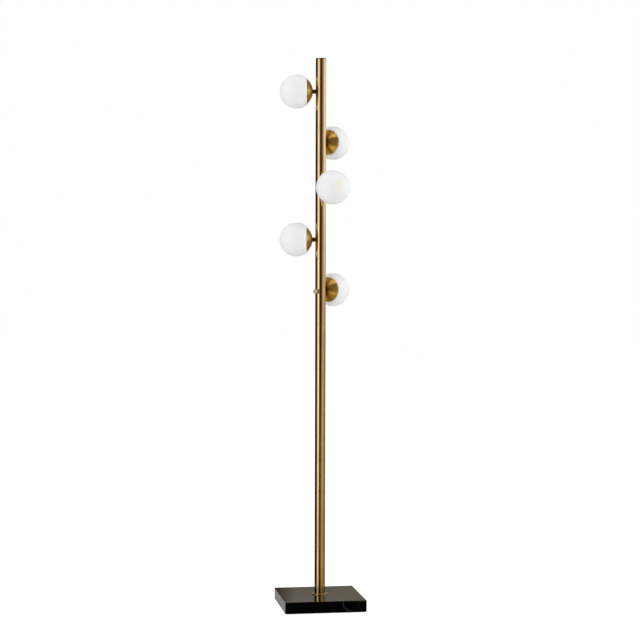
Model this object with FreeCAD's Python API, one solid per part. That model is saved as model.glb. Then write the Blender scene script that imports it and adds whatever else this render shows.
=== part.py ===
import FreeCAD, Part
import math
import os

# Floor lamp: a square stone base, a slim two-section pole and five opal glass
# globes on short stems that climb the pole in a spiral.
# The origin is on the floor under the pole, +Z is up, the base is square to X and Y.
# All lengths are in millimetres and all angles in degrees.

# ---------------------------------------------------------------- driving dimensions

# Stone base and the pad under it
base_width = 243.5            # along X
base_depth = 243.5            # along Y
slab_height = 34.0
slab_chamfer = 0.8            # every edge of the slab
pad_thickness = 1.5
pad_inset = 5.0               # pad edge to slab edge
channel_width = 12.0          # cord channel under the slab, from the centre to the rear
channel_height = 10.0
bushing_length = 16.0         # cord bushing at the rear end of the channel
cord_bore_radius = 3.6

# Fastening of the pole to the slab
flange_radius = 24.5          # thin disc that the pole stands on
flange_thickness = 2.0
flange_edge_radius = 0.9
rod_radius = 5.0              # hollow threaded rod
rod_bore_radius = 3.5
rod_into_pole = 28.0
rod_below_nut = 1.0
rod_play = 1.0                # gap round the rod where it passes the slab
washer_radius = 15.0
washer_thickness = 2.0
lock_washer_radius = 9.5
lock_washer_thickness = 2.0
foot_nut_across_flats = 17.0
foot_nut_thickness = 6.0
spanner_room = 7.0            # recess edge to washer edge
recess_spare = 1.0            # rod end to pad

# Pole
pole_radius = 16.0
pole_wall = 1.2
lower_length = 812.5
seam_chamfer = 0.3            # outer edge of both tubes where they meet
foot_plug_length = 25.0
joiner_length = 80.0          # half of it in each tube
joiner_wall = 2.5
top_cap_thickness = 3.0
top_cap_edge_radius = 1.2
top_cap_plug_depth = 8.0

# Where the heads stand on the upper tube, from the lowest to the highest
seam_to_lowest_head = 106.0
head_rises = [150.5, 153.5, 142.5, 149.0]
highest_head_to_tube_end = 96.5
lowest_head_angle = 50.9      # from +X towards +Y
head_turn = 120.0             # from each head to the next one up

# Stem
stem_radius = 6.5
stem_length = 8.8             # pole surface to the cup's seat
spigot_radius = 5.0           # threaded ends of the stem
stem_bore_radius = 3.5
spigot_into_pole = 1.0        # past the tube's inner wall
spigot_into_holder = 4.0
cup_seat_margin = 0.6         # flat of the cup past the stem's edge

# Glass globe
globe_radius = 50.8
globe_wall = 3.0
mouth_edge_radius = 1.0
neck_inner_radius = 17.5
neck_wall = 3.0

# Brass cup behind the globe
cup_inset = 2.0               # glass surface to cup surface, both round the globe's centre
cup_wall = 1.2
cup_depth = 17.6              # seat to rim

# Collar that the glass neck screws onto, and the nut that clamps it
collar_wall = 2.0
collar_floor = 1.8
thread_engagement = 6.0
stem_nut_across_flats = 14.0
stem_nut_thickness = 3.0

# Lampholder and bulb
holder_radius = 9.0
holder_length = 25.0
holder_flange_radius = 13.0
holder_flange_thickness = 3.0
wire_chamber_radius = 4.0
wire_chamber_depth = 11.0
socket_width = 14.6           # well for the bulb's base
socket_thickness = 6.0
socket_depth = 5.0
pin_spacing = 9.0
pin_radius = 1.1
pin_length = 6.0
bulb_radius = 8.0
bulb_foot_radius = 7.0
bulb_foot_length = 6.0
bulb_end_room = 10.0          # bulb tip to the glass

# Switch
switch_below_head = 5.5       # below the lowest head's axis
switch_width = 17.0           # round the pole
switch_height = 22.0
switch_past_axis = 0.2        # back of the body past the pole's axis
switch_bushing_radius = 5.0
switch_bushing_out = 4.6      # past the pole's surface
switch_nut_radius = 6.3
switch_nut_thickness = 2.5
shaft_radius = 3.0
shaft_depth = 4.0             # into the switch body
knob_reach = 16.3             # end of the knob past the pole's surface
knob_radius = 7.0
knob_head_length = 7.8
knob_neck_radius = 6.3
knob_face = 3.0               # metal in front of the shaft's end
knob_edge_radius = 0.8

# Inner leads
lead_radius = 1.75
lead_bend_radius = 8.0
lead_gap = 0.4                # least gap between two leads
splice_length = 30.0
splice_rise = 12.0            # splice above the bend of the lowest head's lead

# Clearances
tube_fit = 0.1                # plugs and joiner inside a tube
thread_fit = 0.1              # a threaded part in its nut or hole
glass_fit = 0.3               # glass neck round its collar
socket_fit = 0.2              # bulb base in its well
shaft_fit = 0.05              # shaft turning in the switch bushing
knob_fit = 0.02               # knob on its shaft
knob_gap = 0.4                # knob to switch nut
bushing_fit = 0.1             # cord bushing in its channel
collar_to_cup = 0.8           # collar floor to the inside of the cup
neck_to_cup = 3.0             # glass neck to the inside of the cup
switch_seat = 0.2             # switch body to the tube's inner wall
splice_fit = 0.2              # splice sleeve to the tube's inner wall
contact_room = 0.3            # contact hole round a pin, and past its end

# ---------------------------------------------------------------- derived sizes

slab_bottom = pad_thickness
slab_top = slab_bottom + slab_height
flange_top = slab_top + flange_thickness
seam_z = flange_top + lower_length
tube_inner_radius = pole_radius - pole_wall
tube_fit_radius = tube_inner_radius - tube_fit

head_count = len(head_rises) + 1
lowest_head_z = seam_z + seam_to_lowest_head
upper_length = seam_to_lowest_head + sum(head_rises) + highest_head_to_tube_end
tube_end_z = seam_z + upper_length
lamp_height = tube_end_z + top_cap_thickness

recess_depth = (washer_thickness + lock_washer_thickness + foot_nut_thickness
                + rod_below_nut + recess_spare)
recess_top = slab_bottom + recess_depth
recess_radius = washer_radius + spanner_room

# Distances along a head's axis, from the pole's axis outwards
cup_radius = globe_radius - cup_inset
cup_inner_radius = cup_radius - cup_wall
cup_seat_radius = stem_radius + cup_seat_margin
cup_seat = pole_radius + stem_length
globe_centre = cup_seat + math.sqrt(cup_radius ** 2 - cup_seat_radius ** 2)
cup_floor = cup_seat + cup_wall
mouth = cup_seat + cup_depth
mouth_depth = globe_centre - mouth
neck_outer_radius = neck_inner_radius + neck_wall
neck_end = globe_centre - math.sqrt(cup_inner_radius ** 2 - (neck_outer_radius + neck_to_cup) ** 2)
collar_radius = neck_inner_radius - glass_fit
collar_back = globe_centre - math.sqrt(cup_inner_radius ** 2 - (collar_radius + collar_to_cup) ** 2)
collar_front = collar_back + collar_floor
collar_end = neck_end + thread_engagement
collar_boss_radius = cup_seat_radius - 2 * thread_fit
nut_front = collar_front + stem_nut_thickness
holder_front = nut_front + holder_length
lead_end = nut_front + wire_chamber_depth
bulb_tip = globe_centre + globe_radius - globe_wall - bulb_end_room

# Distances along the switch's axis, from the pole's axis outwards
switch_angle = lowest_head_angle + 180.0
switch_z = lowest_head_z - switch_below_head
switch_front = math.sqrt(tube_inner_radius ** 2 - (switch_width / 2) ** 2) - switch_seat
switch_nut_front = pole_radius + switch_nut_thickness
knob_back = switch_nut_front + knob_gap
knob_front = pole_radius + knob_reach
shaft_end = knob_front - knob_face
bushing_end = pole_radius + switch_bushing_out

# Each lead rises in its own lane, behind the pole's axis as its head sees it
lead_pitch = 2 * lead_radius + lead_gap
inner_lane = lead_pitch / abs(math.sin(math.radians(head_turn)))
outer_lane = inner_lane + lead_pitch
front_lane = switch_past_axis + lead_radius + lead_gap
splice_bottom = lowest_head_z + lead_bend_radius + splice_rise
splice_top = splice_bottom + splice_length


# ---------------------------------------------------------------- shapes

def point(x, radius):
    return FreeCAD.Vector(x, 0, radius)


def on_arc(centre, radius, degrees):
    """Profile point on a circle round (centre, 0), its angle taken from outwards."""
    turn = math.radians(degrees)
    return point(centre + radius * math.cos(turn), radius * math.sin(turn))


def turned(start, *steps):
    """Solid of revolution about X. A step is the next point, or an arc's middle and end."""
    edges = []
    here = start
    for step in steps + (start,):
        if isinstance(step, tuple):
            middle, end = step
            edges.append(Part.Arc(here, middle, end).toShape())
        else:
            end = step
            edges.append(Part.makeLine(here, end))
        here = end
    face = Part.Face(Part.Wire(edges))
    return face.revolve(FreeCAD.Vector(0, 0, 0), FreeCAD.Vector(1, 0, 0), 360)


def bar(radius, start, end):
    """Cylinder along X."""
    return Part.makeCylinder(radius, end - start, FreeCAD.Vector(start, 0, 0), FreeCAD.Vector(1, 0, 0))


def post(radius, bottom, top):
    """Cylinder along Z on the pole's axis."""
    return Part.makeCylinder(radius, top - bottom, FreeCAD.Vector(0, 0, bottom))


def tube(outer, inner, bottom, top):
    return post(outer, bottom, top).cut(post(inner, bottom, top))


def block(x, y, z):
    """Box from three (low, high) pairs."""
    corner = FreeCAD.Vector(x[0], y[0], z[0])
    return Part.makeBox(x[1] - x[0], y[1] - y[0], z[1] - z[0], corner)


def hexagon(across_flats, thickness):
    """Hexagonal prism on Z from z = 0, with a flat towards +X."""
    corner_radius = across_flats / math.sqrt(3)
    corners = []
    for index in range(7):
        turn = math.radians(60 * index + 30)
        corners.append(FreeCAD.Vector(corner_radius * math.cos(turn), corner_radius * math.sin(turn), 0))
    return Part.Face(Part.makePolygon(corners)).extrude(FreeCAD.Vector(0, 0, thickness))


def circles(shape, radius):
    """Round edges of one radius, each with its centre."""
    found = []
    for edge in shape.Edges:
        if not edge.Degenerated and isinstance(edge.Curve, Part.Circle):
            if abs(edge.Curve.Radius - radius) < 1e-4:
                found.append((edge, edge.Curve.Center))
    return found


def edges_near(shape, x, radius):
    """Round edges of a turned shape at one place of its profile."""
    found = []
    for edge, centre in circles(shape, radius):
        if abs(centre.x - x) < 1e-4 and abs(centre.z) < 1e-4:
            found.append(edge)
    return found


def rings_near(shape, radius, z):
    """Level round edges about the pole's axis."""
    return [edge for edge, centre in circles(shape, radius) if abs(centre.z - z) < 1e-4]


def placed(shape, angle, z):
    """A copy with its X axis turned to an angle about the pole, at a height."""
    copy = shape.copy()
    turn = FreeCAD.Rotation(FreeCAD.Vector(0, 0, 1), angle)
    copy.Placement = FreeCAD.Placement(FreeCAD.Vector(0, 0, z), turn).multiply(copy.Placement)
    return copy


def sweep(edges, radius):
    """Round tube along straight runs and tangent arcs."""
    path = Part.Wire(edges)
    start = edges[0].valueAt(edges[0].FirstParameter)
    along = edges[0].tangentAt(edges[0].FirstParameter)
    ring = Part.Wire(Part.makeCircle(radius, start, along))
    return path.makePipeShell([ring], True, True)


def save(name, shape):
    if not shape.isValid() or shape.Volume <= 0:
        raise ValueError("bad solid: " + name)
    shape.exportStep("parts/" + name + ".step")


# ---------------------------------------------------------------- heads

def head_z(number):
    """Height of a head's axis. Head 1 is the highest."""
    return lowest_head_z + sum(head_rises[:head_count - number])


def head_angle(number):
    return (lowest_head_angle + head_turn * (head_count - number)) % 360.0


def stem():
    """Turned spacer, coped to the tube, with a threaded spigot at each end and a bore."""
    tube_outside = post(pole_radius, -2 * stem_radius, 2 * stem_radius)
    body = bar(stem_radius, 0, cup_seat).cut(tube_outside)
    inner = bar(spigot_radius, tube_inner_radius - spigot_into_pole, cup_seat)
    outer = bar(spigot_radius, cup_seat, nut_front + spigot_into_holder)
    bore = bar(stem_bore_radius, 0, nut_front + spigot_into_holder + 1)
    return body.fuse([inner, outer]).cut(bore).removeSplitter()


def cup():
    """Thin dome round the globe's centre, with a flat seat and a hole for the stem."""
    hole = spigot_radius + thread_fit
    rim_angle = math.degrees(math.acos(-mouth_depth / cup_radius))
    seat_angle = 180 - math.degrees(math.asin(cup_seat_radius / cup_radius))
    inner_rim_angle = math.degrees(math.acos(-mouth_depth / cup_inner_radius))
    floor_depth = globe_centre - cup_floor
    inner_seat_angle = math.degrees(math.acos(-floor_depth / cup_inner_radius))
    outer_middle = on_arc(globe_centre, cup_radius, (rim_angle + seat_angle) / 2)
    inner_middle = on_arc(globe_centre, cup_inner_radius, (inner_rim_angle + inner_seat_angle) / 2)
    return turned(
        point(cup_seat, hole),
        on_arc(globe_centre, cup_radius, seat_angle),
        (outer_middle, on_arc(globe_centre, cup_radius, rim_angle)),
        on_arc(globe_centre, cup_inner_radius, inner_rim_angle),
        (inner_middle, on_arc(globe_centre, cup_inner_radius, inner_seat_angle)),
        point(cup_floor, hole),
    )


def globe():
    """Hollow glass ball, flat where it meets the cup, with a short neck behind the flat."""
    inner_radius = globe_radius - globe_wall
    rim_radius = math.sqrt(globe_radius ** 2 - mouth_depth ** 2)
    shoulder = mouth + globe_wall
    inner_rim_radius = math.sqrt(inner_radius ** 2 - (globe_centre - shoulder) ** 2)
    glass = turned(
        point(mouth, rim_radius),
        (point(globe_centre, globe_radius), point(globe_centre + globe_radius, 0)),
        point(globe_centre + inner_radius, 0),
        (point(globe_centre, inner_radius), point(shoulder, inner_rim_radius)),
        point(shoulder, neck_inner_radius),
        point(neck_end, neck_inner_radius),
        point(neck_end, neck_outer_radius),
        point(mouth, neck_outer_radius),
    )
    return glass.makeFillet(mouth_edge_radius, edges_near(glass, mouth, rim_radius))


def collar():
    """Metal cup that stands on the brass cup's seat and carries the glass neck's thread."""
    hole = spigot_radius + thread_fit
    inner_radius = collar_radius - collar_wall
    return turned(
        point(cup_floor, hole),
        point(cup_floor, collar_boss_radius),
        point(collar_back, collar_boss_radius),
        point(collar_back, collar_radius),
        point(collar_end, collar_radius),
        point(collar_end, inner_radius),
        point(collar_front, inner_radius),
        point(collar_front, hole),
    )


def stem_nut():
    nut = hexagon(stem_nut_across_flats, stem_nut_thickness)
    nut = nut.cut(post(spigot_radius + thread_fit, 0, stem_nut_thickness))
    nut.rotate(FreeCAD.Vector(0, 0, 0), FreeCAD.Vector(0, 1, 0), 90)
    nut.translate(FreeCAD.Vector(collar_front, 0, 0))
    return nut


def lampholder():
    """Ceramic two-pin lampholder with a threaded entry and a wire chamber behind."""
    body = turned(
        point(nut_front, 0),
        point(nut_front, holder_flange_radius),
        point(nut_front + holder_flange_thickness, holder_flange_radius),
        point(nut_front + holder_flange_thickness, holder_radius),
        point(holder_front, holder_radius),
        point(holder_front, 0),
    )
    entry = bar(spigot_radius + thread_fit, nut_front, nut_front + spigot_into_holder)
    chamber = bar(wire_chamber_radius, nut_front, lead_end)
    half_width = socket_width / 2 + socket_fit
    half_thickness = socket_thickness / 2 + socket_fit
    well_floor = holder_front - socket_depth - socket_fit
    well = block((well_floor, holder_front), (-half_width, half_width), (-half_thickness, half_thickness))
    body = body.cut([entry, chamber, well])
    for side in (-1, 1):
        start = well_floor - pin_length - contact_room
        contact = bar(pin_radius + contact_room, start, well_floor)
        contact.translate(FreeCAD.Vector(0, side * pin_spacing / 2, 0))
        body = body.cut(contact)
    return body


def bulb():
    """Two-pin capsule bulb: pins, flat base, round foot and a long domed cover."""
    foot_end = holder_front + bulb_foot_length
    dome_start = bulb_tip - bulb_radius
    dome_middle = on_arc(dome_start, bulb_radius, 45)
    cover = turned(
        point(holder_front, 0),
        point(holder_front, bulb_foot_radius),
        point(foot_end, bulb_foot_radius),
        point(foot_end, bulb_radius),
        point(dome_start, bulb_radius),
        (dome_middle, point(bulb_tip, 0)),
    )
    base_back = holder_front - socket_depth
    half_width = socket_width / 2
    half_thickness = socket_thickness / 2
    base = block((base_back, holder_front), (-half_width, half_width), (-half_thickness, half_thickness))
    pieces = [base]
    for side in (-1, 1):
        pin = bar(pin_radius, base_back - pin_length, base_back)
        pin.translate(FreeCAD.Vector(0, side * pin_spacing / 2, 0))
        pieces.append(pin)
    return cover.fuse(pieces).removeSplitter()


def lead(lane, rise_from, head_height):
    """Lead from the splice to a lampholder: up or down its lane, one bend, then outwards."""
    up = 1 if head_height > rise_from else -1
    start = FreeCAD.Vector(lane, 0, rise_from - head_height)
    bend_start = FreeCAD.Vector(lane, 0, -up * lead_bend_radius)
    bend_end = FreeCAD.Vector(lane + lead_bend_radius, 0, 0)
    diagonal = lead_bend_radius * (1 - math.sqrt(0.5))
    bend_middle = FreeCAD.Vector(lane + diagonal, 0, -up * diagonal)
    end = FreeCAD.Vector(lead_end, 0, 0)
    edges = [
        Part.makeLine(start, bend_start),
        Part.Arc(bend_start, bend_middle, bend_end).toShape(),
        Part.makeLine(bend_end, end),
    ]
    return sweep(edges, lead_radius)


def lead_lane(number):
    """Place of a lead's upright run on its head's axis. Higher heads take the outer lanes."""
    if number == head_count:
        return front_lane
    if number <= 2:
        return -outer_lane
    return -inner_lane


def make_heads():
    nuts = []
    for number in range(1, head_count + 1):
        angle = head_angle(number)
        z = head_z(number)
        start = splice_bottom if number == head_count else splice_top
        save("stem_%d" % number, placed(stem(), angle, z))
        save("cup_%d" % number, placed(cup(), angle, z))
        save("globe_collar_%d" % number, placed(collar(), angle, z))
        save("lampholder_%d" % number, placed(lampholder(), angle, z))
        save("bulb_%d" % number, placed(bulb(), angle, z))
        save("globe_%d" % number, placed(globe(), angle, z))
        save("head_lead_%d" % number, placed(lead(lead_lane(number), start, z), angle, z))
        nuts.append(placed(stem_nut(), angle, z))
    save("stem_nuts", Part.makeCompound(nuts))


# ---------------------------------------------------------------- base

def make_base():
    half_x = base_width / 2
    half_y = base_depth / 2
    slab = block((-half_x, half_x), (-half_y, half_y), (slab_bottom, slab_top))
    slab = slab.makeChamfer(slab_chamfer, slab.Edges)
    rod_hole = post(rod_radius + rod_play, slab_bottom, slab_top)
    recess = post(recess_radius, slab_bottom, recess_top)
    half_channel = channel_width / 2
    channel_top = slab_bottom + channel_height
    channel = block((-half_channel, half_channel), (0, half_y), (slab_bottom, channel_top))
    save("base_slab", slab.cut([rod_hole, recess, channel]))

    pad_x = half_x - pad_inset
    pad_y = half_y - pad_inset
    save("base_pad", block((-pad_x, pad_x), (-pad_y, pad_y), (0, pad_thickness)))

    half_bushing = half_channel - bushing_fit
    bushing_top = channel_top - bushing_fit
    bushing = block((-half_bushing, half_bushing), (half_y - bushing_length, half_y),
                    (slab_bottom, bushing_top))
    bore_z = (slab_bottom + bushing_top) / 2
    bore = Part.makeCylinder(cord_bore_radius, bushing_length,
                             FreeCAD.Vector(0, half_y - bushing_length, bore_z),
                             FreeCAD.Vector(0, 1, 0))
    save("cord_bushing", bushing.cut(bore))


def make_foot():
    hole = rod_radius + thread_fit
    flange = tube(flange_radius, hole, slab_top, flange_top)
    flange = flange.makeFillet(flange_edge_radius, rings_near(flange, flange_radius, flange_top))
    save("foot_flange", flange)

    washer_bottom = recess_top - washer_thickness
    lock_bottom = washer_bottom - lock_washer_thickness
    nut_bottom = lock_bottom - foot_nut_thickness
    save("foot_washer", tube(washer_radius, hole, washer_bottom, recess_top))
    save("foot_lock_washer", tube(lock_washer_radius, hole, lock_bottom, washer_bottom))
    nut = hexagon(foot_nut_across_flats, foot_nut_thickness)
    nut = nut.cut(post(hole, 0, foot_nut_thickness))
    nut.translate(FreeCAD.Vector(0, 0, nut_bottom))
    save("foot_nut", nut)

    rod_bottom = nut_bottom - rod_below_nut
    save("foot_rod", tube(rod_radius, rod_bore_radius, rod_bottom, flange_top + rod_into_pole))
    save("foot_plug", tube(tube_fit_radius, hole, flange_top, flange_top + foot_plug_length))


# ---------------------------------------------------------------- pole

def make_pole():
    lower = tube(pole_radius, tube_inner_radius, flange_top, seam_z)
    lower = lower.makeChamfer(seam_chamfer, rings_near(lower, pole_radius, seam_z))
    save("pole_lower", lower)

    half_joiner = joiner_length / 2
    joiner_bore = tube_fit_radius - joiner_wall
    save("pole_joiner", tube(tube_fit_radius, joiner_bore, seam_z - half_joiner, seam_z + half_joiner))

    upper = tube(pole_radius, tube_inner_radius, seam_z, tube_end_z)
    upper = upper.makeChamfer(seam_chamfer, rings_near(upper, pole_radius, seam_z))
    holes = []
    for number in range(1, head_count + 1):
        hole = bar(spigot_radius + thread_fit, 0, 2 * pole_radius)
        holes.append(placed(hole, head_angle(number), head_z(number)))
    switch_hole = bar(switch_bushing_radius + thread_fit, 0, 2 * pole_radius)
    holes.append(placed(switch_hole, switch_angle, switch_z))
    save("pole_upper", upper.cut(holes))

    cap = post(pole_radius, tube_end_z, lamp_height)
    cap = cap.makeFillet(top_cap_edge_radius, rings_near(cap, pole_radius, lamp_height))
    plug = post(tube_fit_radius, tube_end_z - top_cap_plug_depth, tube_end_z)
    save("top_cap", cap.fuse(plug).removeSplitter())


# ---------------------------------------------------------------- switch and wiring

def make_switch():
    half_width = switch_width / 2
    half_height = switch_height / 2
    body = block((-switch_past_axis, switch_front), (-half_width, half_width), (-half_height, half_height))
    bushing = bar(switch_bushing_radius, switch_front, bushing_end)
    bore = bar(shaft_radius + shaft_fit, switch_front - shaft_depth - shaft_fit, bushing_end)
    save("switch_body", placed(body.fuse(bushing).cut(bore), switch_angle, switch_z))

    nut = bar(switch_nut_radius, pole_radius, switch_nut_front)
    nut = nut.cut(bar(switch_bushing_radius + thread_fit, pole_radius, switch_nut_front))
    save("switch_nut", placed(nut, switch_angle, switch_z))

    shaft = bar(shaft_radius, switch_front - shaft_depth, shaft_end)
    save("switch_shaft", placed(shaft, switch_angle, switch_z))

    head_back = knob_front - knob_head_length
    knob = turned(
        point(knob_back, 0),
        point(knob_back, knob_neck_radius),
        point(head_back, knob_neck_radius),
        point(head_back, knob_radius),
        point(knob_front, knob_radius),
        point(knob_front, 0),
    )
    knob = knob.makeFillet(knob_edge_radius, edges_near(knob, knob_front, knob_radius))
    knob = knob.cut(bar(shaft_radius + knob_fit, knob_back, shaft_end))
    knob = knob.cut(bar(switch_bushing_radius + knob_gap, knob_back, bushing_end + knob_gap))
    save("switch_knob", placed(knob, switch_angle, switch_z))


def make_wiring():
    sleeve = post(tube_inner_radius - splice_fit, splice_bottom, splice_top)
    save("splice_sleeve", sleeve)

    lead_x = switch_front / 2
    height = splice_bottom - switch_z - switch_height / 2
    tail = Part.makeCylinder(lead_radius, height, FreeCAD.Vector(lead_x, 0, switch_height / 2))
    save("switch_lead", placed(tail, switch_angle, switch_z))


os.makedirs("parts", exist_ok=True)
make_base()
make_foot()
make_pole()
make_heads()
make_switch()
make_wiring()
print("lamp height %.1f, globe axis offset %.2f" % (lamp_height, globe_centre))
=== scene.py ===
import math

import bmesh
import bpy
from mathutils import Matrix, Vector


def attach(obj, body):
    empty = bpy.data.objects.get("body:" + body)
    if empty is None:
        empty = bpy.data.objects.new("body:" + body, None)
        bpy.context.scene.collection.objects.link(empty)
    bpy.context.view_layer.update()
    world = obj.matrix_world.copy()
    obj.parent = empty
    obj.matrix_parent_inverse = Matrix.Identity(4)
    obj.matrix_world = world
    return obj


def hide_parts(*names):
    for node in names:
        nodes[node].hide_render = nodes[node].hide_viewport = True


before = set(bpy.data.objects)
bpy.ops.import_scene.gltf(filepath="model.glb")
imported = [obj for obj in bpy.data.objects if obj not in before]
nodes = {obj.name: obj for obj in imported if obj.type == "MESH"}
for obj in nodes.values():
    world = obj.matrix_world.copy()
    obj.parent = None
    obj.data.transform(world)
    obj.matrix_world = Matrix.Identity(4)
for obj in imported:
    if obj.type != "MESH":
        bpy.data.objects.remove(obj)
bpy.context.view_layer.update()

# Sizes are in millimetres and angles in degrees, as in the CAD source. A turned piece has a
# profile of (along, radius) points. On a head and on the knob, along runs outwards from the
# pole's axis; on the pole and the flange it is the height.
POLE_R, TUBE_R = 16.0, 14.8
SEAM, TUBE_END, TOP = 850.0, 1648.0, 1651.0
CAP_PLUG_DEPTH, CAP_PLUG_R, CAP_EDGE = 8.0, 14.7, 1.2
FLANGE_BOTTOM, FLANGE_TOP, FLANGE_R, FLANGE_EDGE = 35.5, 37.5, 24.5, 0.9
ROD_HOLE_R = 5.1  # in the flange, the cups and the collars

# Angle from +X and height of each head, from the top down
HEADS = {
    1: (170.9, 1551.5),
    2: (50.9, 1402.5),
    3: (290.9, 1260.0),
    4: (170.9, 1106.5),
    5: (50.9, 956.0),
}
CENTRE, GLOBE_R, GLASS = 73.08, 50.8, 3.0
MOUTH, NECK_R, NECK_END = 42.4, 17.5, 31.69
CUP_R, CUP_WALL, CUP_SEAT, SEAT_R = 48.8, 1.2, 24.8, 7.1
CUP_FLOOR = CUP_SEAT + CUP_WALL
COLLAR_BACK, COLLAR_FRONT, COLLAR_END = 29.01, 30.81, 37.69
COLLAR_R, COLLAR_INNER_R, COLLAR_FOOT_R = 17.2, 15.2, 6.9
HOLDER_FRONT, BULB_FOOT, BULB_R, BULB_TIP = 58.81, 64.81, 8.0, 110.88
BULB_FOOT_R, BULB_SKIRT_R, BULB_COVER_WALL = 7.0, 7.6, 0.9
BULB_BASE, PIN, PIN_SPACING = (6.0, 14.6, 5.0), (1.6, 1.6, 6.0), 9.0
CORE_R, CORE_FOOT_R, CORE_FOOT, CORE_LENGTH = 4.6, 5.6, 2.0, 34.0
CHIP, END_CHIP = (0.5, 2.4, 3.0), (2.2, 2.2, 0.5)
CHIP_ROWS, CHIP_PITCH, CHIP_OUT, FIRST_CHIP = 5, 5.6, 4.15, 7.0

KNOB_ANGLE, KNOB_Z = 230.9, 950.5
KNOB_BACK, KNOB_HEAD, KNOB_FRONT = 18.9, 24.5, 32.3
KNOB_R, KNOB_NECK_R, KNOB_EDGE = 7.0, 6.3, 0.8
SHAFT_HOLE_R, SHAFT_HOLE_END, NUT_ROOM_R, NUT_ROOM_END = 3.02, 29.3, 5.4, 21.0

# Degrees from the lamp's -Y side to the camera's, towards -X
CAMERA_YAW = 9.108


# ---------------------------------------------------------------- mesh helpers

def arc(centre, radius, start, end, steps):
    """Points round centre, which is (along, radius). Angles are from the outward axis."""
    turns = [math.radians(start + (end - start) * i / steps) for i in range(steps + 1)]
    return [(centre[0] + radius * math.cos(t), centre[1] + radius * math.sin(t)) for t in turns]


def rounded_edge(along, radius, size, steps=8):
    """Quarter turn from a turned piece's side onto its outer end."""
    return arc((along - size, radius - size), size, 90, 0, steps)


def finish_mesh(name, bm, angle):
    """Smooth shaded object, with edges sharper than angle kept sharp."""
    bmesh.ops.recalc_face_normals(bm, faces=bm.faces)
    mesh = bpy.data.meshes.new(name)
    bm.to_mesh(mesh)
    bm.free()
    mesh.polygons.foreach_set("use_smooth", [True] * len(mesh.polygons))
    mesh.set_sharp_from_angle(angle=math.radians(angle))
    obj = bpy.data.objects.new(name, mesh)
    bpy.context.scene.collection.objects.link(obj)
    return obj


def lathe(name, profile, segments, angle=30.0, ripple=None):
    """Turned mesh about local Z. The profile closes on itself, and ripple(along, turn) adds to
    its radius."""
    bm = bmesh.new()
    rings = []
    for along, radius in profile:
        if radius < 1e-6:
            rings.append([bm.verts.new((0, 0, along / 1000))])
            continue
        ring = []
        for i in range(segments):
            turn = 2 * math.pi * i / segments
            r = (radius + (ripple(along, turn) if ripple else 0)) / 1000
            ring.append(bm.verts.new((r * math.cos(turn), r * math.sin(turn), along / 1000)))
        rings.append(ring)
    for a, b in zip(rings, rings[1:] + rings[:1]):
        if len(a) == 1 and len(b) == 1:
            continue
        for i in range(segments):
            j = (i + 1) % segments
            quad = [a[i % len(a)], a[j % len(a)], b[j % len(b)], b[i % len(b)]]
            bm.faces.new(list(dict.fromkeys(quad)))
    return finish_mesh(name, bm, angle)


def blocks(name, boxes, bevel):
    """Bevelled blocks in one mesh. A box is (centre, size, turn about local Z)."""
    bm = bmesh.new()
    for centre, size, turn in boxes:
        made = bmesh.ops.create_cube(bm, size=1.0)["verts"]
        turned = Matrix.Rotation(math.radians(turn), 4, "Z")
        place = turned @ Matrix.Translation(Vector(centre) / 1000)
        bmesh.ops.scale(bm, vec=Vector(size) / 1000, verts=made)
        bmesh.ops.transform(bm, matrix=place, verts=made)
    bmesh.ops.bevel(bm, geom=list(bm.edges), offset=bevel / 1000, segments=2, affect="EDGES")
    return finish_mesh(name, bm, 40.0)


def along_axis(angle, z):
    """Place with local Z out along a head's or the knob's axis and local X upwards."""
    turn = math.radians(angle)
    out = Vector((math.cos(turn), math.sin(turn), 0))
    up = Vector((0, 0, 1))
    place = Matrix((up, out.cross(up), out)).transposed().to_4x4()
    place.translation = (0, 0, z / 1000)
    return place


def put(obj, body, material, place=None, stands_for=()):
    """Gives a piece its place, material, body and slot, and the CAD nodes it stands for."""
    if place is not None:
        obj.matrix_world = place
    obj.data.materials.clear()
    obj.data.materials.append(material)
    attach(obj, body)
    if stands_for:
        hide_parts(*stands_for)


# ---------------------------------------------------------------- materials

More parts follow.
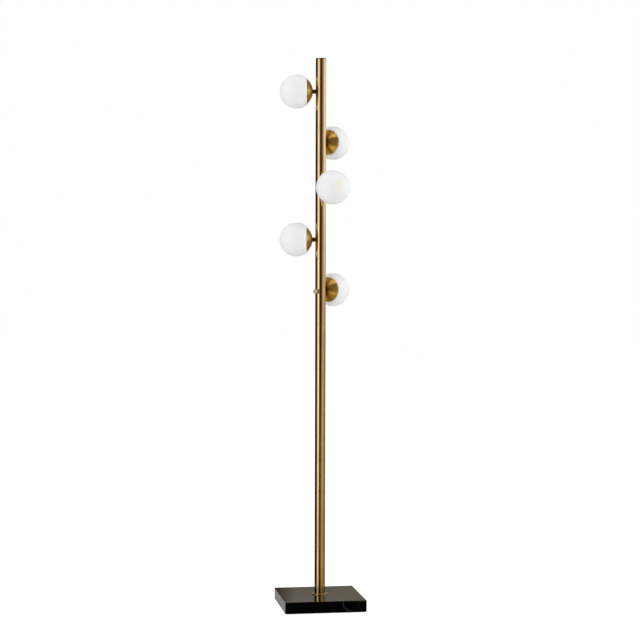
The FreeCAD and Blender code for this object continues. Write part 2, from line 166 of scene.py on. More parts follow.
class Shader:
    """A Principled material and a few short ways to wire its nodes."""

    def __init__(self, name, **values):
        self.material = bpy.data.materials.new(name)
        self.material.use_nodes = True
        self.tree = self.material.node_tree
        self.bsdf = self.tree.nodes["Principled BSDF"]
        for key, value in values.items():
            self.bsdf.inputs[key.replace("_", " ")].default_value = value

    def node(self, kind, inputs=(), **settings):
        """New node. An input's value is another node's output or a constant."""
        made = self.tree.nodes.new(kind)
        for key, value in settings.items():
            setattr(made, key, value)
        for socket, value in dict(inputs).items():
            if isinstance(value, bpy.types.NodeSocket):
                self.tree.links.new(value, made.inputs[socket])
            else:
                made.inputs[socket].default_value = value
        return made

    def feed(self, socket, value):
        self.tree.links.new(value, self.bsdf.inputs[socket])

    def surface(self, output):
        """Shows this in place of the Principled shader."""
        self.tree.links.new(output, self.tree.nodes["Material Output"].inputs["Surface"])

    def glow(self, colour, strength):
        return self.node("ShaderNodeEmission", {"Color": colour, "Strength": strength}).outputs[0]

    def position(self):
        """Place on the piece in its own coordinates, in metres."""
        return self.node("ShaderNodeTexCoord").outputs["Object"]

    def xyz(self):
        return self.node("ShaderNodeSeparateXYZ", {0: self.position()}).outputs

    def scaled(self, scale=(1, 1, 1)):
        made = self.node("ShaderNodeMapping", {"Vector": self.position(), "Scale": scale})
        return made.outputs[0]

    def math(self, operation, a, b=0.0):
        return self.node("ShaderNodeMath", {0: a, 1: b}, operation=operation).outputs[0]

    def distance(self, a, b):
        squares = self.math("ADD", self.math("MULTIPLY", a, a), self.math("MULTIPLY", b, b))
        return self.math("SQRT", squares)

    def noise(self, vector, scale, detail=3.0, rough=0.5):
        return self.node("ShaderNodeTexNoise", {
            "Vector": vector, "Scale": scale, "Detail": detail, "Roughness": rough}).outputs["Fac"]

    def ramp(self, fac, *stops, smooth=False):
        """Colour ramp. A stop is (position, colour or grey)."""
        made = self.node("ShaderNodeValToRGB", {"Fac": fac})
        ramp = made.color_ramp
        ramp.interpolation = "EASE" if smooth else "LINEAR"
        while len(ramp.elements) < len(stops):
            ramp.elements.new(0.5)
        for element, (at, colour) in zip(ramp.elements, stops):
            element.position = at
            element.color = (*(colour if hasattr(colour, "__len__") else [colour] * 3), 1)
        return made.outputs["Color"]

    def mix(self, fac, a, b, blend="MIX"):
        """Mix of two colours, whose sockets are 6 and 7 on the node."""
        a, b = (c if isinstance(c, bpy.types.NodeSocket) else (*c, 1) for c in (a, b))
        made = self.node("ShaderNodeMix", {0: fac, 6: a, 7: b}, data_type="RGBA", blend_type=blend)
        return made.outputs[2]

    def bump(self, height, distance):
        made = self.node("ShaderNodeBump", {"Height": height, "Distance": distance})
        self.feed("Normal", made.outputs[0])


def ring_lines(shader, pitch):
    """Coordinate that changes fast along a turned profile, by 1 for each pitch, and slowly
    round it."""
    x, y, z = shader.xyz()
    fast = 1000.0 / pitch
    return shader.node("ShaderNodeCombineXYZ", {
        "X": shader.math("MULTIPLY", shader.distance(x, y), fast),
        "Y": shader.math("MULTIPLY", z, fast),
        "Z": shader.math("MULTIPLY", shader.math("ADD", x, y), 14.0),
    }).outputs[0]


def brass(name, pale, deep, rough, spread, coat=0.2, bump=0.0, pitch=0.4, anisotropic=0.3,
          painted_shade_reach=0.0):
    """Lacquered brass with turned or brushed lines round local Z and uneven patina. Where a reach
    in metres is given, painted shade for the pole's dark reflection and the stem's shadow darkens
    it most on the axis and ends that far from it."""
    s = Shader(name, Metallic=1.0, Anisotropic=anisotropic, Anisotropic_Rotation=0.25,
               Coat_Weight=coat, Coat_Roughness=0.12)
    patina = s.noise(s.scaled(), 38.0, 4.0, 0.6)
    blotch = s.noise(s.scaled((1, 1, 0.35)), 9.0, 2.0)
    lines = s.noise(ring_lines(s, pitch), 1.0, 3.0, 0.6)
    tone = s.mix(s.ramp(patina, (0.35, 0.0), (0.68, 1.0)), deep, pale)
    tone = s.mix(s.ramp(blotch, (0.42, 0.0), (0.66, 0.35)), tone, deep)
    tone = s.mix(s.ramp(lines, (0.3, 0.5), (0.75, 0.0)), tone, deep)
    # Painted shade by the stem root: darkest on the axis, gone at the given reach
    if painted_shade_reach:
        x, y, _ = s.xyz()
        out = s.math("DIVIDE", s.distance(x, y), painted_shade_reach)
        shade = s.ramp(out, (0.25, (0.10, 0.06, 0.03)), (0.62, (0.55, 0.50, 0.42)), (1.0, 1.0))
        tone = s.mix(1.0, tone, shade, "MULTIPLY")
    s.feed("Base Color", tone)
    s.feed("Roughness", s.ramp(lines, (0.25, rough - spread), (0.8, rough + spread)))
    if bump:
        s.bump(lines, bump)
    s.feed("Tangent", s.node("ShaderNodeTangent", direction_type="RADIAL", axis="Z").outputs[0])
    return s.material


def metal(name, pale, deep, rough, scale=120.0):
    """Plain grained metal."""
    s = Shader(name, Metallic=1.0)
    grain = s.noise(s.scaled(), scale, 5.0, 0.65)
    s.feed("Base Color", s.mix(s.ramp(grain, (0.35, 0.0), (0.7, 1.0)), deep, pale))
    s.feed("Roughness", s.ramp(grain, (0.3, rough - 0.08), (0.75, rough + 0.1)))
    s.bump(grain, 0.00005)
    return s.material


def plain(name, pale, deep, rough, scale, bump=0.0, **values):
    """Plastic, felt or ceramic with a fine grain."""
    s = Shader(name, **values)
    grain = s.noise(s.scaled(), scale, 4.0, 0.6)
    s.feed("Base Color", s.mix(s.ramp(grain, (0.35, 0.0), (0.65, 1.0)), deep, pale))
    s.feed("Roughness", s.ramp(grain, (0.3, rough - 0.05), (0.7, rough + 0.05)))
    if bump:
        s.bump(grain, bump)
    return s.material


# The slab's curved vein is part of a ring on its front face: the ring's centre, across and up,
# and its radius, in metres.
VEIN_X, VEIN_Z, VEIN_R = 0.074, 0.030, 0.0235
VEIN_HALF_WIDTH = 0.0004


def scattered_veins(s, position, bent):
    """Sparse thin veins on the edges of large cells."""
    cells = s.node("ShaderNodeTexVoronoi", {"Vector": bent, "Scale": 7.5},
                   feature="DISTANCE_TO_EDGE").outputs["Distance"]
    thin = s.ramp(cells, (0.0, 1.0), (0.012, 0.0))
    fade = s.ramp(s.noise(position, 11.0), (0.5, 0.0), (0.68, 0.8))
    return s.math("MULTIPLY", thin, fade)


def curved_vein(s, position):
    """The one vein that shows in the photo, near the right end of the front face."""
    x, y, z = s.xyz()
    wave = s.math("MULTIPLY", s.math("SUBTRACT", s.noise(position, 60.0), 0.5), 0.004)
    right = s.math("SUBTRACT", x, VEIN_X)
    reach = s.distance(right, s.math("SUBTRACT", z, VEIN_Z))
    off = s.math("ABSOLUTE", s.math("ADD", s.math("SUBTRACT", reach, VEIN_R), wave))
    line = s.ramp(off, (0.0, 1.0), (VEIN_HALF_WIDTH, 0.0), smooth=True)
    left_part = s.ramp(s.math("MULTIPLY", right, 40.0), (0.0, 1.0), (0.35, 0.0))
    front_part = s.ramp(s.math("ADD", s.math("MULTIPLY", y, 10.0), 1.2), (0.35, 1.0), (0.9, 0.0))
    return s.math("MULTIPLY", s.math("MULTIPLY", line, left_part), front_part)


def marble():
    """Polished black marble with a faintly cloudy ground."""
    s = Shader("polished_black_marble", IOR=1.5)
    position = s.position()
    warp = s.node("ShaderNodeTexNoise", {"Vector": position, "Scale": 14.0, "Detail": 4.0})
    shift = s.node("ShaderNodeVectorMath", {0: warp.outputs["Color"], 1: (0.5, 0.5, 0.5)},
                   operation="SUBTRACT")
    shift = s.node("ShaderNodeVectorMath", {0: shift.outputs[0], "Scale": 0.05}, operation="SCALE")
    bent = s.node("ShaderNodeVectorMath", {0: position, 1: shift.outputs[0]},
                  operation="ADD").outputs[0]

    cloud = s.mix(s.ramp(s.noise(bent, 20.0, 6.0, 0.6), (0.4, 0.0), (0.75, 1.0)),
                  (0.0002, 0.0002, 0.0003), (0.0009, 0.0009, 0.0010))
    veins = s.math("MULTIPLY", scattered_veins(s, position, bent), 0.5)
    ground = s.mix(veins, cloud, (0.030, 0.030, 0.033))
    ground = s.mix(curved_vein(s, position), ground, (0.013, 0.0145, 0.017))
    s.feed("Base Color", ground)
    s.feed("Roughness", s.ramp(s.noise(position, 90.0, 4.0), (0.3, 0.05), (0.75, 0.11)))
    return s.material


def opal():
    """Satin opal glass, with a painted yellow tint at a globe's far end that stands for the bulb's
    phosphor seen faintly through the glass.
    """
    s = Shader("opal_glass_satin", Roughness=0.42, IOR=1.45, Subsurface_Weight=0.25,
               Subsurface_Radius=(1.0, 1.0, 0.9), Subsurface_Scale=0.003)
    x, y, z = s.xyz()
    # Painted see-through tint of the bulb, round the axis at the globe's far end
    reach = s.distance(s.math("MULTIPLY", x, 0.7), s.math("SUBTRACT", y, 0.0045))
    near = s.ramp(s.math("MULTIPLY", reach, 50.0), (0.3, 1.0), (1.0, 0.0), smooth=True)
    far_end = s.ramp(s.math("MULTIPLY", z, 10.0), (0.85, 0.0), (0.95, 1.0))
    painted_bulb_tint = s.math("MULTIPLY", s.math("MULTIPLY", near, far_end), 0.8)
    cloud = s.ramp(s.noise(s.scaled(), 22.0), (0.3, 0.0), (0.7, 1.0))
    white = s.mix(cloud, (0.83, 0.83, 0.835), (0.86, 0.86, 0.86))
    s.feed("Base Color", s.mix(painted_bulb_tint, white, (0.87, 0.85, 0.66)))
    s.bump(s.noise(s.scaled(), 900.0, 2.0), 0.00002)
    return s.material


def frosted_cover():
    s = Shader("frosted_bulb_cover", IOR=1.45, Transmission_Weight=0.75)
    grain = s.noise(s.scaled(), 500.0)
    s.feed("Base Color", s.mix(s.ramp(grain, (0.3, 0.0), (0.7, 1.0)),
                               (0.88, 0.87, 0.84), (0.95, 0.94, 0.92)))
    s.feed("Roughness", s.ramp(grain, (0.3, 0.28), (0.7, 0.36)))
    return s.material


# A brass, metal or plain look gives its pale tone, its deep tone and its roughness.
looks = {
    "black_marble": marble(),
    "black_felt": plain(
        "black_felt_pad", (0.022, 0.022, 0.024), (0.008, 0.008, 0.009), 0.93,
        scale=700.0, bump=0.0004, Sheen_Weight=0.3, Sheen_Roughness=0.5),
    "black_plastic": plain(
        "black_moulded_plastic", (0.02, 0.02, 0.021), (0.012, 0.012, 0.013), 0.42,
        scale=400.0, bump=0.00003),
    "antique_brass": brass(
        "antique_brass_brushed", (0.78, 0.55, 0.26), (0.68, 0.45, 0.18), 0.14, spread=0.025,
        coat=0.25, pitch=0.5),
    "satin_brass": brass(
        "satin_brass_turned", (0.50, 0.40, 0.26), (0.42, 0.33, 0.20), 0.24, spread=0.05,
        bump=0.000002),
    "cap_brass": brass(
        "cap_brass_aged", (0.34, 0.23, 0.11), (0.24, 0.15, 0.06), 0.22, spread=0.04),
    "flange_brass": brass(
        "flange_brass_turned", (0.62, 0.43, 0.20), (0.50, 0.33, 0.13), 0.20, spread=0.04,
        bump=0.000002),
    # The cups' brass gets painted shade near the stem root
    "spun_brass": brass(
        "spun_brass_lacquered", (0.86, 0.56, 0.15), (0.66, 0.37, 0.06), 0.37, spread=0.05,
        coat=0.15, bump=0.000003, pitch=0.6, anisotropic=0.8, painted_shade_reach=0.022),
    "dark_brass": brass(
        "dark_brass_stem", (0.16, 0.10, 0.05), (0.08, 0.045, 0.02), 0.34, spread=0.06,
        coat=0.0, bump=0.000002),
    "zinc_steel": metal("zinc_plated_steel", (0.62, 0.63, 0.64), (0.44, 0.45, 0.47), 0.34),
    "bare_aluminium": metal(
        "turned_aluminium", (0.78, 0.78, 0.78), (0.62, 0.62, 0.63), 0.32, scale=260.0),
    "white_ceramic": plain(
        "glazed_white_ceramic", (0.83, 0.82, 0.79), (0.78, 0.77, 0.73), 0.22,
        scale=90.0, bump=0.00003),
    "bulb_cover": frosted_cover(),
    "opal_glass": opal(),
    "lead_sheath": plain(
        "clear_lead_sheath", (0.42, 0.40, 0.36), (0.34, 0.32, 0.28), 0.45, scale=300.0),
    "bulb_plastic": plain(
        "white_bulb_plastic", (0.82, 0.82, 0.81), (0.77, 0.77, 0.76), 0.38,
        scale=350.0, bump=0.00002),
    "phosphor": plain(
        "yellow_phosphor", (0.86, 0.66, 0.10), (0.78, 0.55, 0.06), 0.5,
        scale=900.0, bump=0.00002),
}


# ---------------------------------------------------------------- pole and foot

TURNED = 128  # segments of a large turned piece

# An edge is a list of (back from the end, in from the surface).
FOOT_EDGE = [(0, 0.15), (0.15, 0)]
SEAM_EDGE = [(0, 0.35), (0.12, 0.12), (0.45, 0)]
TOP_EDGE = [(0, 0.2), (0.2, 0)]


def tube_end(end, way, edge):
    """One end of a pole tube, from its bore outwards. way is 1 where the tube lies above its
    end and -1 below. A last ring 1 mm back keeps the edge's shading off the long faces."""
    return [(end, TUBE_R)] + [(end + way * back, POLE_R - inwards) for back, inwards in edge] \
        + [(end + way, POLE_R)]


def tube(name, bottom, top):
    return lathe(name, bottom + top[::-1], TURNED)


put(tube("pole_lower_tube", tube_end(FLANGE_TOP, 1, FOOT_EDGE), tube_end(SEAM, -1, SEAM_EDGE)),
    "stand", looks["antique_brass"], stands_for=["pole_lower"])
put(tube("pole_upper_tube", tube_end(SEAM, 1, SEAM_EDGE), tube_end(TUBE_END, -1, TOP_EDGE)),
    "stand", looks["antique_brass"], stands_for=["pole_upper"])

plug_end = TUBE_END - CAP_PLUG_DEPTH
cap = lathe("top_cap_disc", [
    (plug_end, 0), (plug_end, CAP_PLUG_R - 0.5), (plug_end + 0.5, CAP_PLUG_R),
    (TUBE_END, CAP_PLUG_R), (TUBE_END, POLE_R - 0.25), (TUBE_END + 0.25, POLE_R)]
    + rounded_edge(TOP, POLE_R, CAP_EDGE) + [(TOP, 0)], TURNED)
put(cap, "stand", looks["cap_brass"], stands_for=["top_cap"])

flange = lathe("foot_flange_disc", [
    (FLANGE_BOTTOM, ROD_HOLE_R), (FLANGE_BOTTOM, FLANGE_R - 0.2), (FLANGE_BOTTOM + 0.2, FLANGE_R)]
    + rounded_edge(FLANGE_TOP, FLANGE_R, FLANGE_EDGE) + [(FLANGE_TOP, ROD_HOLE_R)], TURNED)
put(flange, "stand", looks["flange_brass"], stands_for=["foot_flange"])


# ---------------------------------------------------------------- heads

BALL = (CENTRE, 0)


def angle_at(along, radius):
    """Angle of a circle of this radius round the globe's centre, at a place on the axis."""
    return math.degrees(math.acos((along - CENTRE) / radius))


def cup_profile():
    """Thin bowl with a flat seat and a rounded lip."""
    inner = CUP_R - CUP_WALL
    lip = MOUTH - 0.45
    seat_angle = 180 - math.degrees(math.asin(SEAT_R / CUP_R))
    outside = arc(BALL, CUP_R, seat_angle, angle_at(lip, CUP_R), 40)
    inside = arc(BALL, inner, angle_at(lip, inner), angle_at(CUP_FLOOR, inner), 24)
    lip_out = outside[-1][1] - 0.02
    lip_in = inside[0][1] + 0.25
    return ([(CUP_SEAT, ROD_HOLE_R), (CUP_SEAT, SEAT_R - 0.3)] + outside
            + [(MOUTH - 0.12, lip_out), (MOUTH, lip_out - 0.35),
               (MOUTH, lip_in + 0.2), (MOUTH - 0.12, lip_in)]
            + inside + [(CUP_FLOOR, ROD_HOLE_R)])


def globe_profile():
    """Hollow ball, cut flat at its mouth, with a neck that goes back over the collar."""
    inner = GLOBE_R - GLASS
    neck_out = NECK_R + GLASS
    rim = math.sqrt(GLOBE_R ** 2 - (CENTRE - MOUTH) ** 2)
    shoulder = MOUTH + GLASS
    back = [(MOUTH, neck_out + 1.2), (MOUTH, rim - 1.35),
            (MOUTH + 0.12, rim - 0.75), (MOUTH + 0.5, rim - 0.05)]
    ball = arc(BALL, GLOBE_R, angle_at(MOUTH + 1.1, GLOBE_R), 0, 72)
    hollow = arc(BALL, inner, 0, angle_at(shoulder + 1.0, inner), 48)
    neck_inside = [(shoulder, NECK_R + 3), (shoulder, NECK_R + 0.8),
                   (shoulder - 0.5, NECK_R), (NECK_END + 0.8, NECK_R)]
    neck_end = [(NECK_END + 0.1, NECK_R + 0.5), (NECK_END, NECK_R + 1.5),
                (NECK_END + 0.1, neck_out - 0.5), (NECK_END + 0.8, neck_out)]
    neck_outside = [(MOUTH - 1.2, neck_out), (MOUTH - 0.35, neck_out + 0.3)]
    return back + ball + hollow + neck_inside + neck_end + neck_outside


THREAD_PITCH, THREAD_DEPTH = 1.55, 0.6


def collar_profile():
    """Metal collar with a coarse rounded thread for the glass neck."""
    root = COLLAR_R - THREAD_DEPTH
    thread = []
    along = COLLAR_BACK + 2.6
    while along < COLLAR_END - 1.0:
        thread += [(along, root), (along + 0.45, COLLAR_R), (along + 0.75, COLLAR_R),
                   (along + 1.2, root)]
        along += THREAD_PITCH
    foot = [(CUP_FLOOR, ROD_HOLE_R), (CUP_FLOOR, COLLAR_FOOT_R), (COLLAR_BACK, COLLAR_FOOT_R)]
    back = [(COLLAR_BACK, COLLAR_R - 0.4), (COLLAR_BACK + 0.4, COLLAR_R),
            (COLLAR_BACK + 1.8, COLLAR_R)]
    front = [(COLLAR_END - 0.3, root), (COLLAR_END, COLLAR_R - 0.9), (COLLAR_END, COLLAR_INNER_R),
             (COLLAR_FRONT, COLLAR_INNER_R), (COLLAR_FRONT, ROD_HOLE_R)]
    return foot + back + thread + front


def bulb_foot_profile():
    return [(HOLDER_FRONT, 0), (HOLDER_FRONT, BULB_FOOT_R - 0.4),
            (HOLDER_FRONT + 0.4, BULB_FOOT_R), (BULB_FOOT - 0.6, BULB_FOOT_R),
            (BULB_FOOT - 0.2, BULB_SKIRT_R), (BULB_FOOT, BULB_SKIRT_R), (BULB_FOOT, 0)]


def bulb_cover_profile():
    dome = (BULB_TIP - BULB_R, 0)
    return [(BULB_FOOT, BULB_FOOT_R), (BULB_FOOT, BULB_R)] + arc(dome, BULB_R, 90, 0, 16) \
        + arc(dome, BULB_R - BULB_COVER_WALL, 0, 90, 12) + [(BULB_FOOT + 0.1, BULB_FOOT_R + 0.1)]


def core_profile():
    end = BULB_FOOT + CORE_LENGTH
    return [(BULB_FOOT, 0), (BULB_FOOT, CORE_FOOT_R), (BULB_FOOT + CORE_FOOT, CORE_R),
            (end, CORE_R), (end, 0)]


def pin_boxes():
    """The bulb's base in its well, and its two pins."""
    base_depth, pin_depth = BULB_BASE[2], PIN[2]
    pin_z = HOLDER_FRONT - base_depth - pin_depth / 2
    return [((0, 0, HOLDER_FRONT - base_depth / 2), BULB_BASE, 0)] \
        + [((0, side * PIN_SPACING / 2, pin_z), PIN, 0) for side in (1, -1)]


def chip_boxes():
    """Rows of phosphor chips round the core's six faces, and three on its end."""
    rows = [BULB_FOOT + FIRST_CHIP + CHIP_PITCH * row for row in range(CHIP_ROWS)]
    end = BULB_FOOT + CORE_LENGTH + 0.2
    return [((CHIP_OUT, 0, z), CHIP, 60 * face + 30) for face in range(6) for z in rows] \
        + [((1.9, 0, end), END_CHIP, 120 * face) for face in range(3)]


for number, (angle, z) in HEADS.items():
    at = along_axis(angle, z)
    put(lathe("cup_%d_shell" % number, cup_profile(), TURNED, 35), "stand",
        looks["spun_brass"], at, ["cup_%d" % number])
    put(lathe("globe_%d_glass" % number, globe_profile(), 160, 35), "glass_%d" % number,
        looks["opal_glass"], at, ["globe_%d" % number])
    put(lathe("globe_collar_%d_thread" % number, collar_profile(), 96, 25), "stand",
        looks["bare_aluminium"], at, ["globe_collar_%d" % number])
    put(lathe("bulb_%d_foot" % number, bulb_foot_profile(), 64, 35), "stand",
        looks["bulb_plastic"], at, ["bulb_%d" % number])
    put(blocks("bulb_%d_pins" % number, pin_boxes(), 0.3), "stand",
        looks["bulb_plastic"], at)
    put(lathe("bulb_%d_cover" % number, bulb_cover_profile(), 64, 40), "stand",
        looks["bulb_cover"], at)
    put(lathe("bulb_%d_core" % number, core_profile(), 6, 20), "stand",
        looks["bulb_plastic"], at)
    put(blocks("bulb_%d_chips" % number, chip_boxes(), 0.15), "stand",
        looks["phosphor"], at)


# ---------------------------------------------------------------- knob

KNURL_RIDGES, KNURL_DEPTH = 44, 0.26


def knurl(along, turn):
    """Straight knurl on the grip, which stops short of its ends."""
    if not KNOB_HEAD + 0.5 < along < KNOB_FRONT - 0.9:
        return 0.0
    return -KNURL_DEPTH * abs(math.sin(KNURL_RIDGES / 2 * turn))


# The close pairs of rings at the grip's ends let the knurl start and stop sharply.
knob = lathe("switch_knob_grip", [
    (SHAFT_HOLE_END, 0), (SHAFT_HOLE_END, SHAFT_HOLE_R), (NUT_ROOM_END, SHAFT_HOLE_R),
    (NUT_ROOM_END, NUT_ROOM_R), (KNOB_BACK, NUT_ROOM_R),
    (KNOB_BACK, KNOB_NECK_R - 0.3), (KNOB_BACK + 0.3, KNOB_NECK_R), (KNOB_HEAD - 0.8, KNOB_NECK_R),
    (KNOB_HEAD - 0.5, KNOB_NECK_R - 0.3), (KNOB_HEAD - 0.1, KNOB_NECK_R - 0.3),
    (KNOB_HEAD, KNOB_R - 0.5), (KNOB_HEAD + 0.4, KNOB_R), (KNOB_HEAD + 0.49, KNOB_R),
    (KNOB_HEAD + 0.55, KNOB_R), (KNOB_FRONT - 0.95, KNOB_R), (KNOB_FRONT - 0.89, KNOB_R)]
    + rounded_edge(KNOB_FRONT, KNOB_R, KNOB_EDGE, 6)
    + [(KNOB_FRONT, 4.6), (KNOB_FRONT - 0.18, 4.4), (KNOB_FRONT - 0.18, 4.0), (KNOB_FRONT, 3.8),
       (KNOB_FRONT, 0)],
    4 * KNURL_RIDGES, 30, knurl)
put(knob, "knob", looks["satin_brass"], along_axis(KNOB_ANGLE, KNOB_Z),
    ["switch_knob"])


# ---------------------------------------------------------------- carried-over nodes

# CAD nodes that are shown as they are, by look
CARRIED = {
    "black_marble": ["base_slab"],
    "black_felt": ["base_pad"],
    "black_plastic": ["cord_bushing", "switch_body"],
    "satin_brass": ["switch_nut"],
    "dark_brass": ["stem_%d" % n for n in HEADS],
    "zinc_steel": ["foot_rod", "foot_washer", "foot_lock_washer", "foot_nut", "foot_plug",
                   "pole_joiner", "stem_nuts", "switch_shaft"],
    "white_ceramic": ["lampholder_%d" % n for n in HEADS],
    "lead_sheath": ["head_lead_%d" % n for n in HEADS] + ["splice_sleeve", "switch_lead"],
}
for slot, names in CARRIED.items():
    for name in names:
        node = nodes[name]
        if not node.material_slots:
            node.data.materials.append(looks[slot])
        for held in node.material_slots:
            held.material = looks[slot]


# ---------------------------------------------------------------- floor and studio

def staged(name, verts, faces, material, uvs=None):
    """Scenery, which isn't part of the lamp."""
    mesh = bpy.data.meshes.new(name)
    mesh.from_pydata(verts, [], faces)
    if uvs:
        layer = mesh.uv_layers.new(name="turn")
        for loop in mesh.loops:
            layer.data[loop.index].uv = uvs(loop)
    obj = bpy.data.objects.new(name, mesh)
    obj.data.materials.append(material)
    bpy.context.scene.collection.objects.link(obj)
    return obj


def background_rays(tree):
    """1 for camera, glossy and transmission rays."""
    path = tree.nodes.new("ShaderNodeLightPath")
    value = path.outputs["Is Camera Ray"]
    for name in ("Is Glossy Ray", "Is Transmission Ray"):
        larger = tree.nodes.new("ShaderNodeMath")
        larger.operation = "MAXIMUM"
        tree.links.new(value, larger.inputs[0])
        tree.links.new(path.outputs[name], larger.inputs[1])
        value = larger.outputs[0]
    return value


def floor_material():
    """Pale paper. Part of what the camera sees is plain white, and the rest takes the light and
    the shadow."""
    s = Shader("white_paper_floor", Base_Color=(0.88, 0.88, 0.88, 1), Roughness=0.9,
               Specular_IOR_Level=0.0)
    share = s.math("MULTIPLY", background_rays(s.tree), 0.6)
    white = s.glow((1, 1, 1, 1), 1.4)
    s.surface(s.node("ShaderNodeMixShader", {0: share, 1: s.bsdf.outputs[0], 2: white}).outputs[0])
    return s.material


FLOOR_HALF, FLOOR_Z = 14, -0.0003
staged("floor", [(x * FLOOR_HALF, y * FLOOR_HALF, FLOOR_Z)
                 for x, y in ((-1, -1), (1, -1), (1, 1), (-1, 1))],
       [(0, 1, 2, 3)], floor_material())

# What the brass and the stone reflect: walls round the lamp, two low kerbs with the same tones
# for what looks down past the walls' foot, a ceiling, a rug, a mat and two panels. Only
# reflections see them.
STUDIO_R, STUDIO_H, STUDIO_SIDES = 2.4, 3.4, 90
FAR_KERB_R, FAR_KERB_H = 1.0, 0.28
NEAR_KERB_R, NEAR_KERB_H = 0.32, 0.12
WALL_STRENGTH = 2.6  # lets the walls' soft boxes be brighter than white

# Plain tones of the walls, by degrees from the camera's side towards the right.
DARK = (0.012, 0.004, 0.0)
BACK = (0.163, 0.157, 0.152)
WALLS_LOW = [
    (-180, BACK), (-166, BACK), (-150, DARK), (-98, DARK), (-84, (0.04, 0.03, 0.02)),
    (-70, (0.12, 0.11, 0.11)), (-63, (0.28, 0.29, 0.33)), (-55, (0.60, 0.67, 0.85)),
    (-42, (0.70, 0.79, 1.0)), (-30, (0.27, 0.26, 0.25)), (-19, (0.07, 0.04, 0.02)),
    (-11, DARK), (6, DARK), (17, (0.07, 0.05, 0.02)), (30, (0.20, 0.18, 0.14)),
    (52, (0.28, 0.27, 0.24)), (74, (0.21, 0.20, 0.19)), (95, (0.11, 0.10, 0.09)),
    (125, (0.11, 0.10, 0.09)), (150, (0.16, 0.15, 0.13)), (166, BACK), (180, BACK),
]
WALLS_HIGH = [
    (-180, BACK), (-166, BACK), (-150, DARK), (-98, DARK), (-82, (0.05, 0.04, 0.03)),
    (-66, (0.34, 0.35, 0.43)), (-46, (0.61, 0.68, 0.95)), (-30, (0.30, 0.29, 0.29)),
    (-14, (0.03, 0.01, 0.0)), (8, (0.02, 0.01, 0.0)), (24, (0.06, 0.04, 0.03)),
    (44, (0.14, 0.14, 0.13)), (60, (0.22, 0.24, 0.29)), (70, (0.32, 0.36, 0.49)),
    (84, (0.46, 0.54, 0.80)), (104, (0.44, 0.50, 0.68)), (128, (0.38, 0.41, 0.50)),
    (150, (0.30, 0.31, 0.33)), (166, BACK), (180, BACK),
]


def plain_glow(name, colour, strength):
    s = Shader(name)
    s.surface(s.glow((*colour, 1), strength))
    return s.material


def wall_material():
    """Low and high tones, mixed by height. On its way down, the right edge of the low dark
    stretch leans to the left."""
    s = Shader("studio_wall_tones")
    uv = s.node("ShaderNodeUVMap", uv_map="turn").outputs[0]
    across, height, _ = s.node("ShaderNodeSeparateXYZ", {0: uv}).outputs
    leaning = s.ramp(across, (0.49, 0.0), (0.52, 1.0), (0.62, 1.0), (0.72, 0.0))
    slant = s.math("MULTIPLY", s.math("SUBTRACT", height, 0.10), -0.2)
    leant = s.math("ADD", across, s.math("MULTIPLY", leaning, slant))
    low, high = (s.ramp(turn, *[((degrees + 180) / 360, tone) for degrees, tone in tones])
                 for turn, tones in ((leant, WALLS_LOW), (across, WALLS_HIGH)))
    tone = s.mix(s.ramp(height, (0.2, 0.0), (0.45, 1.0)), low, high)
    by_height = s.ramp(height, (0.0, (0.66, 0.60, 0.42)), (0.11, 1.0), (0.6, 1.0), (0.7, 0.4))
    s.surface(s.glow(s.mix(1.0, tone, by_height, "MULTIPLY"), WALL_STRENGTH))
    return s.material


def mat_material():
    """Dark on the camera's side of the base, pale behind it."""
    s = Shader("studio_mat_tones")
    _, y, _ = s.xyz()
    tone = s.ramp(s.math("ADD", s.math("MULTIPLY", y, 5.0), 0.5), (0.0, 0.02), (0.08, 0.46))
    s.surface(s.glow(tone, 1.0))
    return s.material


def only_reflected(obj):
    for kind in ("camera", "diffuse", "shadow", "transmission", "volume_scatter"):
        setattr(obj, "visible_" + kind, False)


def round_the_lamp(radius, z):
    """Points round the lamp, from behind it, by its left, front and right, and back again."""
    turns = [math.radians(-90 - CAMERA_YAW - 180 + 360 * i / STUDIO_SIDES)
             for i in range(STUDIO_SIDES + 1)]
    return [(radius * math.cos(t), radius * math.sin(t), z) for t in turns]


def make_walls(name, radius, height, material):
    """One ring of wall, with its turn and its share of the studio's height as coordinates."""
    pairs = zip(round_the_lamp(radius, 0), round_the_lamp(radius, height))
    verts = [vert for pair in pairs for vert in pair]
    faces = [(2 * i, 2 * i + 2, 2 * i + 3, 2 * i + 1) for i in range(STUDIO_SIDES)]

    def uvs(loop):
        place, upper = divmod(loop.vertex_index, 2)
        return place / STUDIO_SIDES, height / STUDIO_H * upper

    only_reflected(staged(name, verts, faces, material, uvs))


def make_disc(name, radius, z, material):
    verts = round_the_lamp(radius, z)[:-1]
    only_reflected(staged(name, verts, [tuple(range(STUDIO_SIDES))], material))


def make_panel(name, near, far, half_width, z, material):
    """Flat panel on the camera's side of the lamp, from near to far."""
    turn = math.radians(-90 - CAMERA_YAW)
    front = Vector((math.cos(turn), math.sin(turn), 0))
    across = Vector((-math.sin(turn), math.cos(turn), 0))
    corners = [front * reach + across * side + Vector((0, 0, z))
               for reach, side in ((near, -half_width), (far, -half_width),
                                   (far, half_width), (near, half_width))]
    only_reflected(staged(name, corners, [(0, 1, 2, 3)], material))


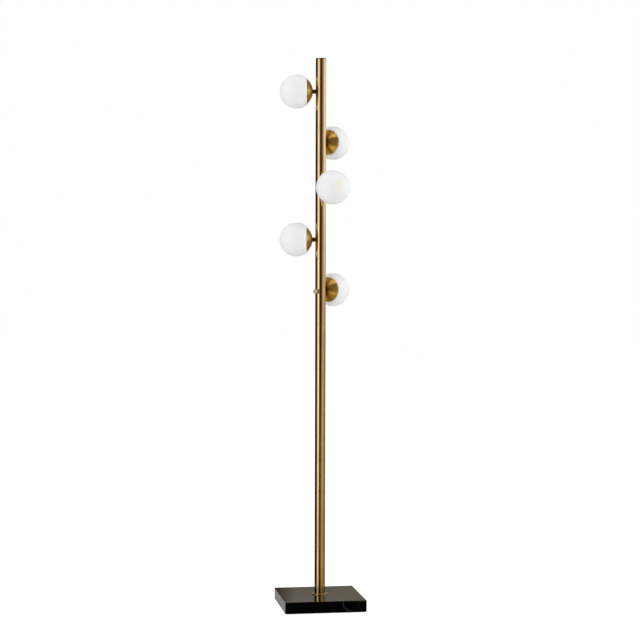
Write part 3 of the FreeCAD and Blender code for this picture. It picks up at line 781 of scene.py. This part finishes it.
wall_tones = wall_material()
make_walls("studio_walls", STUDIO_R, STUDIO_H, wall_tones)
make_walls("studio_kerb_far", FAR_KERB_R, FAR_KERB_H, wall_tones)
make_walls("studio_kerb_near", NEAR_KERB_R, NEAR_KERB_H, wall_tones)
make_disc("studio_ceiling", STUDIO_R, STUDIO_H,
          plain_glow("studio_ceiling_tone", (1.0, 0.95, 0.9), 0.42))
make_disc("studio_rug", STUDIO_R, -0.0002, plain_glow("studio_rug_tone", (1.0, 0.88, 0.70), 0.40))
make_disc("studio_mat", NEAR_KERB_R, -0.0001, mat_material())
make_panel("studio_panel_high", 1.15, 2.2, 1.0, 3.38,
           plain_glow("studio_high_tone", (1.0, 0.97, 0.92), 1.7))
make_panel("studio_panel_low", 1.75, 2.3, 0.9, 0.0,
           plain_glow("studio_low_tone", (1.0, 0.97, 0.90), 2.2))


# ---------------------------------------------------------------- lights and world

def soft_box(name, at, aim, size, watts):
    """Area light that reflections don't see: the studio stands for it there."""
    light = bpy.data.lights.new(name, "AREA")
    light.shape = "RECTANGLE"
    light.size, light.size_y = size
    light.energy = watts
    obj = bpy.data.objects.new(name, light)
    obj.location = at
    obj.rotation_euler = (Vector(aim) - Vector(at)).to_track_quat("-Z", "Y").to_euler()
    obj.visible_glossy = False
    bpy.context.scene.collection.objects.link(obj)


soft_box("key", (-3.1, -0.8, 1.9), (0, 0, 1.0), (1.8, 2.6), 20)
soft_box("fill", (3.0, -0.9, 1.2), (0, 0, 0.9), (1.8, 2.4), 20)
soft_box("overhead", (0.2, 0.3, 3.6), (0, 0, 1.0), (2.4, 2.4), 5)

ROOM_STRENGTH, BACKDROP_STRENGTH = 0.92, 1.0
world = bpy.data.worlds.new("studio")
bpy.context.scene.world = world
world.use_nodes = True
tree = world.node_tree
tree.nodes.clear()
either = tree.nodes.new("ShaderNodeMixShader")
tree.links.new(background_rays(tree), either.inputs[0])
for socket, strength in ((1, ROOM_STRENGTH), (2, BACKDROP_STRENGTH)):
    white = tree.nodes.new("ShaderNodeBackground")
    white.inputs["Color"].default_value = (1, 1, 1, 1)
    white.inputs["Strength"].default_value = strength
    tree.links.new(white.outputs[0], either.inputs[socket])
world_output = tree.nodes.new("ShaderNodeOutputWorld")
tree.links.new(either.outputs[0], world_output.inputs["Surface"])


# ---------------------------------------------------------------- camera

YAW, PITCH, ROLL = math.radians(CAMERA_YAW), math.radians(1.039), math.radians(-0.149)
DISTANCE, SIDE, CAMERA_Z = 4.8394, -0.00129, 0.952
FOCAL_PX, IMAGE_PX, SENSOR_MM = 1604.6, 640, 36.0

ahead_x, ahead_y = math.sin(YAW), math.cos(YAW)
forward = Vector((ahead_x * math.cos(PITCH), ahead_y * math.cos(PITCH), -math.sin(PITCH)))
level = Vector((ahead_y, -ahead_x, 0))
right = level * math.cos(ROLL) - level.cross(forward) * math.sin(ROLL)
up = right.cross(forward)
pose = Matrix((right, up, -forward)).transposed().to_4x4()
pose.translation = Vector((SIDE, 0, CAMERA_Z)) - Vector((ahead_x, ahead_y, 0)) * DISTANCE

camera = bpy.data.objects.new("camera", bpy.data.cameras.new("camera"))
camera.data.sensor_width = SENSOR_MM
camera.data.lens = FOCAL_PX / IMAGE_PX * SENSOR_MM
camera.data.clip_start, camera.data.clip_end = 0.1, 100.0
camera.matrix_world = pose
bpy.context.scene.collection.objects.link(camera)
bpy.context.scene.camera = camera
bpy.context.scene.view_settings.view_transform = "Standard"
